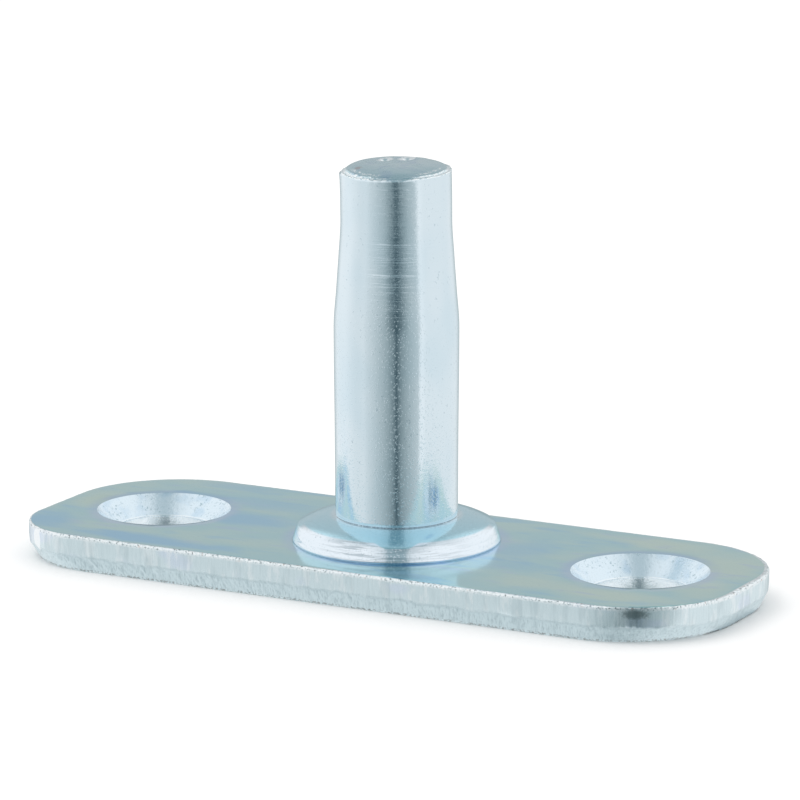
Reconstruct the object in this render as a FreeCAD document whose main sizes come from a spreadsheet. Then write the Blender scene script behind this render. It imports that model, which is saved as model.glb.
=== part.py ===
import FreeCAD, Part
import collections
import enum
import math
import os
import Sketcher

# Gate hinge pin on a flat screw-on plate, zinc-plated steel, millimetres.
# The origin lies on the underside of the plate, on the axis of the pin.
# X runs along the plate, through both screw holes, and Z points up the pin.

document = FreeCAD.newDocument("GateHingePin")

# Driving dimensions, each with the name that the features use.
DIMENSIONS = {
    # Stamped plate
    "plate_length": 62.0,
    "plate_width": 22.0,
    "plate_thickness": 3.0,
    "plate_corner_radius": 7.5,
    "plate_edge_rollover": 0.3,
    # Countersunk screw holes, one each side of the pin
    "screw_end_distance": 9.0,
    "screw_hole_diameter": 8.0,
    "screw_countersink_diameter": 11.2,
    "screw_countersink_angle": 90.0,
    # Shaft of the pin, with its reduced end that leads into the hinge eye
    "pin_diameter": 10.0,
    "pin_projection": 31.0,
    "lead_diameter": 9.0,
    "lead_length": 5.0,
    "taper_length": 7.0,
    "taper_blend_radius": 20.0,
    "end_rounding": 0.5,
    "end_dish_diameter": 7.2,
    "end_dish_depth": 0.12,
    # Collar that bears on the plate and carries the hinge eye
    "collar_diameter": 17.0,
    "collar_thickness": 1.6,
    "collar_crown": 0.5,
    "collar_rim_rounding": 0.8,
    "collar_foot_chamfer": 0.2,
    # Tenon riveted over in the countersink under the plate
    "tenon_diameter": 8.0,
    "rivet_head_diameter": 11.0,
    "rivet_countersink_angle": 90.0,
}

# A corner of a section: two expressions for its place, and one for its blend radius if it has one.
Corner = collections.namedtuple("Corner", ["across", "up", "blend"], defaults=[None])


class Axis(enum.IntEnum):
    """How a sketch numbers its own two axes."""
    HORIZONTAL = -1
    VERTICAL = -2


class Spot(enum.IntEnum):
    """How a sketch numbers the points of a curve."""
    START = enum.auto()
    END = enum.auto()
    CENTRE = enum.auto()


ORIGIN = (Axis.HORIZONTAL, Spot.START)
SAME_LEVEL = 1e-4


def make_sheet():
    """Writes the driving dimensions into a spreadsheet, one aliased cell each."""
    sheet = document.addObject("Spreadsheet::Sheet", "Dimensions")
    for row, (name, size) in enumerate(DIMENSIONS.items(), start=1):
        sheet.set(f"A{row}", name)
        sheet.set(f"B{row}", str(size))
        sheet.setAlias(f"B{row}", name)
    document.recompute()
    return sheet


sheet = make_sheet()


def linked(expression):
    """Returns the expression with each dimension's name led by its sheet."""
    names = sorted(DIMENSIONS, key=len, reverse=True)
    words = expression.replace("(", "( ").replace(")", " )").split()
    return " ".join(f"Dimensions.{word}" if word in names else word for word in words)


def value(expression):
    """Works out an expression of the driving dimensions."""
    return float(sheet.evalExpression(linked(expression)))


def bind(feature, setting, expression):
    """Ties one setting of a feature to the driving dimensions."""
    feature.setExpression(setting, linked(expression))


def add_body(name):
    """Adds the body of one piece, which stands in the shared frame."""
    body = document.addObject("PartDesign::Body", name)
    body.Label = name
    body.Placement = FreeCAD.Placement()
    return body


def origin_feature(body, role):
    """Finds a plane or an axis of the body's own origin."""
    return next(item for item in body.Origin.OriginFeatures if item.Role == role)


def add_sketch(body, name, plane, height="0"):
    """Adds a sketch on a plane of the body, raised by the height given."""
    sketch = body.newObject("Sketcher::SketchObject", name)
    sketch.AttachmentSupport = [(origin_feature(body, plane), "")]
    sketch.MapMode = "FlatFace"
    bind(sketch, ".AttachmentOffset.Base.z", height)
    return sketch


def dimension(sketch, kind, *where, size):
    """Adds a measured constraint and ties it to an expression."""
    number = sketch.addConstraint(Sketcher.Constraint(kind, *where, value(size)))
    sketch.setExpression(f"Constraints[{number}]", linked(size))


def place_point(sketch, curve, end, across, up):
    """Holds one end of a curve at a place measured from the sketch's origin."""
    if across == "0":
        sketch.addConstraint(Sketcher.Constraint("PointOnObject", curve, end, Axis.VERTICAL))
    else:
        dimension(sketch, "DistanceX", *ORIGIN, curve, end, size=across)
    if up == "0":
        sketch.addConstraint(Sketcher.Constraint("PointOnObject", curve, end, Axis.HORIZONTAL))
    else:
        dimension(sketch, "DistanceY", *ORIGIN, curve, end, size=up)


def add_blend(sketch, before, corner, after, radius):
    """Draws the arc that is tangent to both lines of a corner; returns it and its two ends."""
    incoming = (corner - before).normalize()
    outgoing = (after - corner).normalize()
    turn = incoming.getAngle(outgoing)
    reach = radius * math.tan(turn / 2)
    start = corner - incoming * reach
    end = corner + outgoing * reach
    to_the_left = incoming.cross(outgoing).z > 0
    side = FreeCAD.Vector(-incoming.y, incoming.x, 0) * (1 if to_the_left else -1)
    centre = start + side * radius
    middle = centre + (corner - centre).normalize() * radius
    arc = sketch.addGeometry(Part.Arc(start, middle, end), False)
    return (arc, Spot.START, Spot.END) if to_the_left else (arc, Spot.END, Spot.START)


def add_profile(sketch, corners):
    """Draws a closed outline of straight lines, with a tangent arc at each blended corner."""
    count = len(corners)
    points = [FreeCAD.Vector(value(corner.across), value(corner.up), 0) for corner in corners]
    for number, point in enumerate(points):
        sketch.addGeometry(Part.LineSegment(point, points[(number + 1) % count]), False)
    for number, corner in enumerate(corners):
        last = (number - 1) % count
        if corner.blend is None:
            place_point(sketch, number, Spot.START, corner.across, corner.up)
            sketch.addConstraint(Sketcher.Constraint("Coincident", last, Spot.END, number, Spot.START))
            continue
        mark = sketch.addGeometry(Part.Point(points[number]), True)
        place_point(sketch, mark, Spot.START, corner.across, corner.up)
        sketch.addConstraint(Sketcher.Constraint("PointOnObject", mark, Spot.START, last))
        sketch.addConstraint(Sketcher.Constraint("PointOnObject", mark, Spot.START, number))
        following = points[(number + 1) % count]
        blend = add_blend(sketch, points[last], points[number], following, value(corner.blend))
        arc, arc_start, arc_end = blend
        sketch.addConstraint(Sketcher.Constraint("Tangent", last, Spot.END, arc, arc_start))
        sketch.addConstraint(Sketcher.Constraint("Tangent", arc, arc_end, number, Spot.START))
        dimension(sketch, "Radius", arc, size=corner.blend)


def add_rounded_rectangle(sketch, length, width, radius):
    """Draws a rectangle about the origin with a tangent arc at each corner."""
    half_length = value(length) / 2
    half_width = value(width) / 2
    corner = value(radius)
    quarter = math.pi / 2
    signs = [(1, 1), (-1, 1), (-1, -1), (1, -1)]
    for number, (side, front) in enumerate(signs):
        centre = FreeCAD.Vector(side * (half_length - corner), front * (half_width - corner), 0)
        circle = Part.Circle(centre, FreeCAD.Vector(0, 0, 1), corner)
        arc = Part.ArcOfCircle(circle, number * quarter, (number + 1) * quarter)
        sketch.addGeometry(arc, False)
    arcs = range(len(signs))
    for arc in arcs:
        following = (arc + 1) % len(signs)
        start = sketch.getPoint(arc, Spot.END)
        end = sketch.getPoint(following, Spot.START)
        line = sketch.addGeometry(Part.LineSegment(start, end), False)
        sketch.addConstraint(Sketcher.Constraint("Tangent", arc, Spot.END, line, Spot.START))
        sketch.addConstraint(Sketcher.Constraint("Tangent", line, Spot.END, following, Spot.START))
    for arc in arcs[1:]:
        sketch.addConstraint(Sketcher.Constraint("Equal", 0, arc))
    back, left, front, right = range(len(signs), 2 * len(signs))
    sketch.addConstraint(Sketcher.Constraint("Horizontal", back))
    sketch.addConstraint(Sketcher.Constraint("Horizontal", front))
    sketch.addConstraint(Sketcher.Constraint("Vertical", left))
    sketch.addConstraint(Sketcher.Constraint("Vertical", right))
    sketch.addConstraint(Sketcher.Constraint("Symmetric", 0, Spot.CENTRE, 2, Spot.CENTRE, *ORIGIN))
    dimension(sketch, "Radius", 0, size=radius)
    dimension(sketch, "DistanceX", left, Spot.START, right, Spot.START, size=length)
    dimension(sketch, "DistanceY", front, Spot.START, back, Spot.START, size=width)


def add_circle(sketch, across, diameter):
    """Draws a circle on the sketch's horizontal axis."""
    centre = FreeCAD.Vector(value(across), 0, 0)
    circle = Part.Circle(centre, FreeCAD.Vector(0, 0, 1), value(diameter) / 2)
    number = sketch.addGeometry(circle, False)
    place_point(sketch, number, Spot.CENTRE, across, "0")
    dimension(sketch, "Diameter", number, size=diameter)


def edges_at_height(feature, height):
    """Names the feature's edges that lie wholly at this height."""
    level = value(height)
    names = []
    for number, edge in enumerate(feature.Shape.Edges, start=1):
        if max(abs(vertex.Z - level) for vertex in edge.Vertexes) < SAME_LEVEL:
            names.append(f"Edge{number}")
    return names


def add_fillet(body, name, edges, radius):
    """Rounds the named edges of the body's last feature."""
    last = body.Tip
    fillet = body.newObject("PartDesign::Fillet", name)
    fillet.Base = (last, edges)
    bind(fillet, "Radius", radius)
    document.recompute()
    return fillet


def add_countersunk_hole(body, sketch, name, hole, mouth, angle, upwards=False):
    """Drills through the body at the sketch's circles, with a cone at each mouth."""
    drilled = body.newObject("PartDesign::Hole", name)
    drilled.Profile = sketch
    document.recompute()
    drilled.ThreadType = "None"
    drilled.DepthType = "ThroughAll"
    drilled.HoleCutType = "Countersink"
    drilled.HoleCutCustomValues = True
    drilled.Reversed = upwards
    bind(drilled, "Diameter", hole)
    bind(drilled, "HoleCutDiameter", mouth)
    bind(drilled, "HoleCutCountersinkAngle", angle)
    document.recompute()
    return drilled


def build_base_plate():
    """The stamped plate: blank, screw holes, and the hole for the pin's tenon."""
    body = add_body("base_plate")
    outline = add_sketch(body, "PlateOutline", "XY_Plane")
    add_rounded_rectangle(outline, "plate_length", "plate_width", "plate_corner_radius")
    blank = body.newObject("PartDesign::Pad", "Blank")
    blank.Profile = outline
    bind(blank, "Length", "plate_thickness")
    document.recompute()

    # The punch draws the top edge of the blank down into a small round.
    top_edges = edges_at_height(blank, "plate_thickness")
    add_fillet(body, "EdgeRollover", top_edges, "plate_edge_rollover")

    screw_places = add_sketch(body, "ScrewPlaces", "XY_Plane", "plate_thickness")
    add_circle(screw_places, "plate_length / 2 - screw_end_distance", "screw_hole_diameter")
    add_circle(screw_places, "screw_end_distance - plate_length / 2", "screw_hole_diameter")
    add_countersunk_hole(
        body, screw_places, "ScrewHoles",
        "screw_hole_diameter", "screw_countersink_diameter", "screw_countersink_angle",
    )

    # The rivet fills its hole, so hole and tenon share the same sizes.
    rivet_place = add_sketch(body, "RivetPlace", "XY_Plane")
    add_circle(rivet_place, "0", "tenon_diameter")
    add_countersunk_hole(
        body, rivet_place, "RivetHole",
        "tenon_diameter", "rivet_head_diameter", "rivet_countersink_angle", upwards=True,
    )
    return body


def pin_corners():
    """Corners of half the pin's section, from the rivet head up to the lead-in end."""
    rivet_depth = "( rivet_head_diameter - tenon_diameter ) / 2 / tan( rivet_countersink_angle * 1deg / 2 )"
    rim_top = "plate_thickness + collar_thickness"
    crown_top = f"{rim_top} + collar_crown"
    end = "plate_thickness + pin_projection"
    lead_start = f"{end} - lead_length"
    taper_start = f"{lead_start} - taper_length"
    return [
        Corner("0", "0"),
        Corner("rivet_head_diameter / 2", "0"),
        Corner("tenon_diameter / 2", rivet_depth),
        Corner("tenon_diameter / 2", "plate_thickness"),
        Corner("collar_diameter / 2 - collar_foot_chamfer", "plate_thickness"),
        Corner("collar_diameter / 2", "plate_thickness + collar_foot_chamfer"),
        Corner("collar_diameter / 2", rim_top, "collar_rim_rounding"),
        Corner("pin_diameter / 2", crown_top),
        Corner("pin_diameter / 2", taper_start, "taper_blend_radius"),
        Corner("lead_diameter / 2", lead_start, "taper_blend_radius"),
        Corner("lead_diameter / 2", end, "end_rounding"),
        Corner("0", end),
    ]


def dish_end(body):
    """Sinks the shallow dish that the cropping tool leaves in the pin's end."""
    end = "plate_thickness + pin_projection"
    dish_radius = value("end_dish_diameter / 2")
    dish_depth = value("end_dish_depth")
    sketch = add_sketch(body, "DishSection", "XZ_Plane")
    centre = FreeCAD.Vector(0, value(end) - dish_depth, 0)
    edge = FreeCAD.Vector(dish_radius, value(end), 0)
    ball_radius = (dish_radius ** 2 + dish_depth ** 2) / (2 * dish_depth)
    ball = Part.Circle(centre + FreeCAD.Vector(0, ball_radius, 0), FreeCAD.Vector(0, 0, 1), ball_radius)
    start_angle = -math.pi / 2
    end_angle = start_angle + math.asin(dish_radius / ball_radius)
    sketch.addGeometry(Part.ArcOfCircle(ball, start_angle, end_angle), False)
    sketch.addGeometry(Part.LineSegment(edge, FreeCAD.Vector(0, value(end), 0)), False)
    sketch.addGeometry(Part.LineSegment(FreeCAD.Vector(0, value(end), 0), centre), False)
    arc, lid, axis = range(3)
    sketch.addConstraint(Sketcher.Constraint("Coincident", arc, Spot.END, lid, Spot.START))
    sketch.addConstraint(Sketcher.Constraint("Coincident", lid, Spot.END, axis, Spot.START))
    sketch.addConstraint(Sketcher.Constraint("Coincident", axis, Spot.END, arc, Spot.START))
    sketch.addConstraint(Sketcher.Constraint("PointOnObject", arc, Spot.CENTRE, Axis.VERTICAL))
    place_point(sketch, lid, Spot.START, "end_dish_diameter / 2", end)
    place_point(sketch, lid, Spot.END, "0", end)
    place_point(sketch, axis, Spot.END, "0", f"{end} - end_dish_depth")
    dish = body.newObject("PartDesign::Groove", "EndDish")
    dish.Profile = sketch
    dish.ReferenceAxis = (origin_feature(body, "Z_Axis"), [""])
    document.recompute()


def build_hinge_pin():
    """The headed pin: rivet head, tenon, collar, shaft and tapered lead-in end."""
    body = add_body("hinge_pin")
    section = add_sketch(body, "PinSection", "XZ_Plane")
    add_profile(section, pin_corners())
    turned = body.newObject("PartDesign::Revolution", "TurnedPin")
    turned.Profile = section
    turned.ReferenceAxis = (origin_feature(body, "Z_Axis"), [""])
    document.recompute()
    dish_end(body)
    return body


def check_document(bodies):
    """Stops the build if any feature failed or any piece has no sound solid."""
    for item in document.Objects:
        if "Invalid" in item.State or "Error" in item.State:
            raise RuntimeError(f"{item.Label} failed: {item.State}")
    for body in bodies:
        if body.Shape.isNull() or not body.Shape.isValid():
            raise RuntimeError(f"{body.Label} has no valid shape")
        print(body.Label, "volume", round(body.Shape.Volume, 2), "mm3, solids", len(body.Shape.Solids))


def main():
    bodies = [build_base_plate(), build_hinge_pin()]
    document.recompute()
    check_document(bodies)
    os.makedirs("parts", exist_ok=True)
    for body in bodies:
        body.Shape.exportStep(f"parts/{body.Label}.step")


main()
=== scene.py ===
"""Looks of a gate hinge pin: a stamped zinc plate with a turned pin riveted through it.

Everything is worked out in millimetres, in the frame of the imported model, and turned into
metres where a mesh is made. The origin is the plate's underside on the pin's axis, X runs
through both screw holes and Z runs up the pin. Unevenness is seeded, so each run is the same.
"""

import logging
import math
from dataclasses import dataclass
from enum import Enum

import bpy
import numpy as np
from mathutils import Matrix, Vector, geometry

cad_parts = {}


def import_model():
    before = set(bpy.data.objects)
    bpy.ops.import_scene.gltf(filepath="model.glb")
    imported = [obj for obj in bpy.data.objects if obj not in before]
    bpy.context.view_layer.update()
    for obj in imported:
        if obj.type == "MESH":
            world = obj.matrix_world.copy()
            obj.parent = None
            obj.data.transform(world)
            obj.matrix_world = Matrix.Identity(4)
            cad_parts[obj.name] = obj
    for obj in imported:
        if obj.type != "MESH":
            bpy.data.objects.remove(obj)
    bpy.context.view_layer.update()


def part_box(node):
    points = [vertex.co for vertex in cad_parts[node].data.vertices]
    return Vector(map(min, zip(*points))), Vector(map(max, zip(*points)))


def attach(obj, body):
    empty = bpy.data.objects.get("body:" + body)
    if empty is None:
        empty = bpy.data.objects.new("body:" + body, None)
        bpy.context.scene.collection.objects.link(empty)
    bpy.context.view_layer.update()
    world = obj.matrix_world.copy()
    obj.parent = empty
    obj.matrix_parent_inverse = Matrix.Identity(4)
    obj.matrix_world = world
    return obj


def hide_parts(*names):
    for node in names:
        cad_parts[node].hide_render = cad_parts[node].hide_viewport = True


MM = 0.001
SEEN_AZIMUTH = math.radians(28.0)
HOLE_SPACING = 44.0
MOUTH_RADIUS = 5.6
TENON_RADIUS = 4.0
RIVET_RADIUS = 5.5
COLLAR_RADIUS = 8.5
PLATE_THICKNESS = 3.0
ROOT_HEIGHT = 5.1

log = logging.getLogger("gate_hinge_pin")


class Finish(Enum):
    """The surfaces of the part, each of which has a finish of its own."""

    ROLLED_FACE = "rolled face"
    SHEARED_SIDE = "sheared side"
    PRESSED_HOLE = "pressed hole"
    TURNED_WALL = "turned wall"
    CROPPED_END = "cropped end"
    PEENED_RIVET = "peened rivet"


class Signal:
    """An output socket of a shader graph. Its operators add the nodes that work them out."""

    def __init__(self, graph: "Graph", socket: bpy.types.NodeSocket) -> None:
        """Wraps an output socket of the graph."""
        self.graph = graph
        self.socket = socket

    def __add__(self, other: "Feed") -> "Signal":
        """Sum."""
        return self.graph.work_out("ADD", self, other)

    __radd__ = __add__

    def __sub__(self, other: "Feed") -> "Signal":
        """Difference."""
        return self.graph.work_out("SUBTRACT", self, other)

    def __rsub__(self, other: "Feed") -> "Signal":
        """Difference the other way round."""
        return self.graph.work_out("SUBTRACT", other, self)

    def __mul__(self, other: "Feed") -> "Signal":
        """Product."""
        return self.graph.work_out("MULTIPLY", self, other)

    __rmul__ = __mul__

    def __truediv__(self, other: "Feed") -> "Signal":
        """Quotient."""
        return self.graph.work_out("DIVIDE", self, other)

    def __pow__(self, other: "Feed") -> "Signal":
        """Power."""
        return self.graph.work_out("POWER", self, other)

    def __abs__(self) -> "Signal":
        """Size without sign."""
        return self.graph.work_out("ABSOLUTE", self)

    def step(self, low: float, high: float) -> "Signal":
        """Smooth step from 0 at low to 1 at high; high may be the smaller number."""
        settings, feeds = {"interpolation_type": "SMOOTHSTEP"}, {"From Min": low, "From Max": high}
        return self.graph.node("ShaderNodeMapRange", settings, {"Value": self, **feeds})["Result"]

    def length(self) -> "Signal":
        """The length of a vector."""
        return self.graph.node("ShaderNodeVectorMath", {"operation": "LENGTH"}, {0: self})["Value"]

    def parts(self) -> "Outputs":
        """The parts X, Y and Z of a vector."""
        return self.graph.node("ShaderNodeSeparateXYZ", None, {"Vector": self})

    def facing(self, azimuth: float) -> tuple["Signal", "Signal"]:
        """Splits the level part of a vector by the side that it is seen from.

        Args:
            azimuth: That side, in radians from minus Y towards X.

        Returns:
            How far the vector goes to the right as seen, and how far towards that side.
        """
        parts, sine, cosine = self.parts(), math.sin(azimuth), math.cos(azimuth)
        return parts["X"] * cosine + parts["Y"] * sine, parts["X"] * sine - parts["Y"] * cosine


Feed = float | tuple[float, ...] | Signal


class Outputs:
    """The output sockets of one node, by name, as signals."""

    def __init__(self, graph: "Graph", node: bpy.types.Node) -> None:
        """Wraps a node of the graph."""
        self.graph = graph
        self.node = node

    def __getitem__(self, name: str) -> Signal:
        """The enabled output of that name."""
        found = next(out for out in self.node.outputs if out.name == name and out.enabled)
        return Signal(self.graph, found)


class Graph:
    """The node tree of one material or of the world."""

    def __init__(self, owner: bpy.types.Material | bpy.types.World) -> None:
        """Empties the owner's node tree.

        Args:
            owner: The material or world whose nodes are to be made.
        """
        owner.use_nodes = True
        self.tree = owner.node_tree
        self.tree.nodes.clear()

    def node(self, kind: str, settings: dict | None = None, feeds: dict | None = None) -> Outputs:
        """Adds one node.

        Args:
            kind: The node's type.
            settings: Its settings by name.
            feeds: Values or signals by the names or numbers of its input sockets.

        Returns:
            The node's outputs.
        """
        made = self.tree.nodes.new(kind)
        for name, setting in (settings or {}).items():
            setattr(made, name, setting)
        for name, feed in (feeds or {}).items():
            self.connect(self.input_of(made, name), feed)
        return Outputs(self, made)

    @staticmethod
    def input_of(node: bpy.types.Node, name: str | int) -> bpy.types.NodeSocket:
        """The enabled input of that name, or the input of that number."""
        if isinstance(name, int):
            return node.inputs[name]
        return next(socket for socket in node.inputs if socket.name == name and socket.enabled)

    def connect(self, socket: bpy.types.NodeSocket, feed: Feed) -> None:
        """Sets an input socket to a value, or links a signal to it.

        Args:
            socket: The input socket.
            feed: A number, a colour or vector, or a signal.
        """
        if isinstance(feed, Signal):
            self.tree.links.new(feed.socket, socket)
        elif socket.type == "RGBA" and len(feed) == 3:
            socket.default_value = (*feed, 1.0)
        else:
            socket.default_value = feed

    def work_out(self, operation: str, *terms: Feed) -> Signal:
        """Adds the node for an operator: Vector Math where a term is a vector or colour.

        Args:
            operation: The operation's name on the Math or Vector Math node.
            terms: The numbers, vectors or signals that it takes.

        Returns:
            The result.
        """
        settings = {"operation": operation}
        if not any(self.is_vector(term) for term in terms):
            return self.node("ShaderNodeMath", settings, dict(enumerate(terms)))["Value"]
        feeds = dict(enumerate(self.as_vector(term) for term in terms))
        return self.node("ShaderNodeVectorMath", settings, feeds)["Vector"]

    @staticmethod
    def is_vector(term: Feed) -> bool:
        """Whether a term has three parts."""
        if isinstance(term, Signal):
            return term.socket.type in {"VECTOR", "RGBA"}
        return isinstance(term, tuple)

    @staticmethod
    def as_vector(term: Feed) -> Feed:
        """The term, with a plain number repeated three times."""
        return term if isinstance(term, (Signal, tuple)) else (term, term, term)

    def layered(self, base: Feed, *layers: tuple[Feed, Feed]) -> Signal:
        """Lays colours one over another.

        Args:
            base: The lowest colour.
            layers: Each layer's share, from 0 to 1, and its colour.

        Returns:
            The blended colour.
        """
        colour = base
        for share, coat in layers:
            settings = {"data_type": "RGBA", "clamp_factor": True}
            feeds = {"Factor": share, "A": colour, "B": coat}
            colour = self.node("ShaderNodeMix", settings, feeds)["Result"]
        return colour

    def place(self) -> Signal:
        """Where the shaded point is on the part, in millimetres."""
        return self.node("ShaderNodeTexCoord")["Object"] * (1 / MM)

    def bump(self, height: Signal, depth: float, under: Signal | None = None) -> Signal:
        """A normal that follows a height.

        Args:
            height: The height from 0 to 1.
            depth: What a height of 1 stands for, in millimetres.
            under: A normal that this one adds to.

        Returns:
            The normal.
        """
        feeds = {"Height": height, "Distance": depth * MM, "Strength": 1.0}
        if under is not None:
            feeds["Normal"] = under
        return self.node("ShaderNodeBump", None, feeds)["Normal"]

    def metal(self, colour: Feed, roughness: Feed, normal: Signal, **rest: float) -> None:
        """Ends a material's graph with a metal shader.

        Args:
            colour: The metal's colour.
            roughness: Its roughness.
            normal: Its bumped normal.
            rest: Other inputs that are the same all over, by name with _ for a space.
        """
        feeds = {"Base Color": colour, "Roughness": roughness, "Metallic": 1.0, "Normal": normal}
        feeds.update({name.replace("_", " "): number for name, number in rest.items()})
        shader = self.node("ShaderNodeBsdfPrincipled", None, feeds)["BSDF"]
        self.node("ShaderNodeOutputMaterial", None, {"Surface": shader})


@dataclass(frozen=True)
class Grain:
    """Cloudy noise: its waves to a millimetre along X, Y and Z, its finer layers, its shift."""

    waves: tuple
    layers: float = 2.0
    rough: float = 0.5
    shift: tuple = (0.0, 0.0, 0.0)

    def over(self, place: Signal) -> Signal:
        """The noise at a place on the part, from 0 to 1."""
        feeds = {
            "Vector": (place + self.shift) * self.waves, "Scale": 1.0,
            "Detail": self.layers, "Roughness": self.rough,
        }
        return place.graph.node("ShaderNodeTexNoise", None, feeds)["Fac"]


@dataclass(frozen=True)
class Spot:
    """A soft spot of another colour, round in stretched millimetres, with a ragged edge."""

    middle: tuple
    stretch: tuple
    outer: float
    inner: float
    ragged: float
    strength: float = 1.0

    def mask(self, place: Signal, noise: Signal) -> Signal:
        """The spot's share at a place, from 0 to its strength; the noise breaks up its edge."""
        far = ((place - self.middle) * self.stretch).length() + (noise - 0.5) * self.ragged
        return far.step(self.outer, self.inner) * self.strength


class Coating:
    """A finish of zinc, which a subclass draws."""

    name: str

    def material(self) -> bpy.types.Material:
        """Makes the finish's material.

        Returns:
            The material.
        """
        made = bpy.data.materials.new(self.name)
        self.draw(Graph(made))
        return made

    def draw(self, graph: Graph) -> None:
        """Draws the finish in a material's graph."""
        raise NotImplementedError


@dataclass(frozen=True)
class RainbowZinc(Coating):
    """Blue-passivated zinc on the plate's rolled faces: a soft mirror with rainbow tints.

    Each tint has its middle X and Y, its reach along X and Y and its strength. Each circle,
    the last of which is the collar's, has its middle X and its radius.
    """

    name: str = "rainbow_zinc"
    teal: tuple = (0.405, 0.665, 0.71)
    sage: tuple = (0.56, 0.725, 0.66)
    blue: tuple = (0.28, 0.565, 0.80)
    lilac: tuple = (0.44, 0.57, 0.81)
    speck: tuple = (0.30, 0.42, 0.48)
    roughness: float = 0.13
    clouds: Grain = Grain((0.13, 0.26, 0.2), 3.0, shift=(40.0, 9.0, 0.0))
    bands: Grain = Grain((0.17, 0.50, 0.2), 3.0, shift=(7.0, 61.0, 0.0))
    ragged: Grain = Grain((0.22, 0.34, 0.2), 3.0, shift=(11.0, 23.0, 0.0))
    wear: Grain = Grain((0.16, 0.3, 0.2), shift=(3.0, 8.0, 0.0))
    specks: Grain = Grain((3.1, 5.3, 3.0), 3.0, 0.65)
    scratches: Grain = Grain((0.35, 14.0, 1.0), 3.0, 0.6)
    handling: Grain = Grain((2.2, 3.0, 2.0), 3.0, shift=(0.0, 0.0, 5.0))
    waves: Grain = Grain((0.25, 0.5, 0.25), 1.0)
    circles: tuple = (
        (-HOLE_SPACING / 2, MOUTH_RADIUS), (HOLE_SPACING / 2, MOUTH_RADIUS), (0.0, COLLAR_RADIUS),
    )
    blue_tints: tuple = (
        (-28.4, -7.8, 3.6, 2.8, 0.8), (-18.0, -9.6, 8.5, 1.8, 0.9), (-15.5, 5.2, 6.5, 2.2, 0.5),
        (-13.5, 0.0, 5.5, 2.8, 0.8), (-20.0, 9.5, 4.5, 1.6, 0.45), (11.5, -3.5, 4.0, 2.2, 0.4),
        (10.5, 1.5, 3.5, 4.0, 0.5),
    )
    sage_tints: tuple = (
        (-28.6, 0.4, 2.0, 3.6, 0.9), (-8.5, -6.5, 4.5, 2.2, 0.45), (27.5, 4.5, 4.5, 5.5, 0.9),
        (19.5, 8.4, 6.0, 2.0, 0.95), (23.0, -8.2, 6.0, 2.0, 0.95), (14.5, 8.8, 3.5, 1.2, 0.45),
        (29.0, -2.5, 2.2, 4.0, 0.7), (15.5, -7.5, 4.0, 3.0, 0.8),
    )

    @staticmethod
    def tint(x: float, y: float, reach_x: float, reach_y: float, strength: float) -> Spot:
        """The spot that a tint makes on both faces."""
        return Spot((x, y, 0.0), (1 / reach_x, 1 / reach_y, 0.0), 1.15, 0.25, 1.1, strength)

    def draw(self, graph: Graph) -> None:
        """Draws the tints, the halos round the holes and the collar, a painted contact shade round the
        collar's foot, and the specks.

        Args:
            graph: The material's graph.
        """
        place = graph.place()
        grains = (self.clouds, self.bands, self.ragged, self.wear, self.specks, self.handling)
        clouds, bands, ragged, wear, specks, handling = (grain.over(place) for grain in grains)
        above = place.parts()["Z"].step(1.4, 1.6)
        gaps = [
            ((place - (middle, 0.0, 0.0)) * (1.0, 1.0, 0.0)).length() - radius
            for middle, radius in self.circles
        ]
        halos = [gap.step(1.3, 0.15) * ragged.step(0.2, 0.55) * above for gap in gaps]
        # painted shade: a thin dark line round the collar's foot, where it meets the plate
        painted_contact_shade = abs(gaps[-1]).step(0.12, 0.03) * bands.step(0.25, 0.5) * above
        worn = wear.step(0.40, 0.62) * 0.6 + 0.15
        colour = graph.layered(
            self.teal,
            (clouds.step(0.40, 0.66) * 0.45, self.sage),
            (bands.step(0.46, 0.30) * 0.5, self.blue),
            *((self.tint(*row).mask(place, ragged), self.sage) for row in self.sage_tints),
            *((self.tint(*row).mask(place, bands), self.blue) for row in self.blue_tints),
            (bands.step(0.58, 0.70) * 0.4, self.lilac),
            *((halo * 0.6, self.lilac) for halo in halos),
            (painted_contact_shade * 0.4, self.speck),
            (specks.step(0.62, 0.74) * worn, self.speck),
        )
        roughness = clouds * 0.06 + handling * 0.08 + (self.roughness - 0.07)
        waves = graph.bump(self.waves.over(place), 0.012)
        scratched = handling * 0.6 + self.scratches.over(place) * 0.4
        graph.metal(colour, roughness, graph.bump(scratched, 0.0020, waves))


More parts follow.
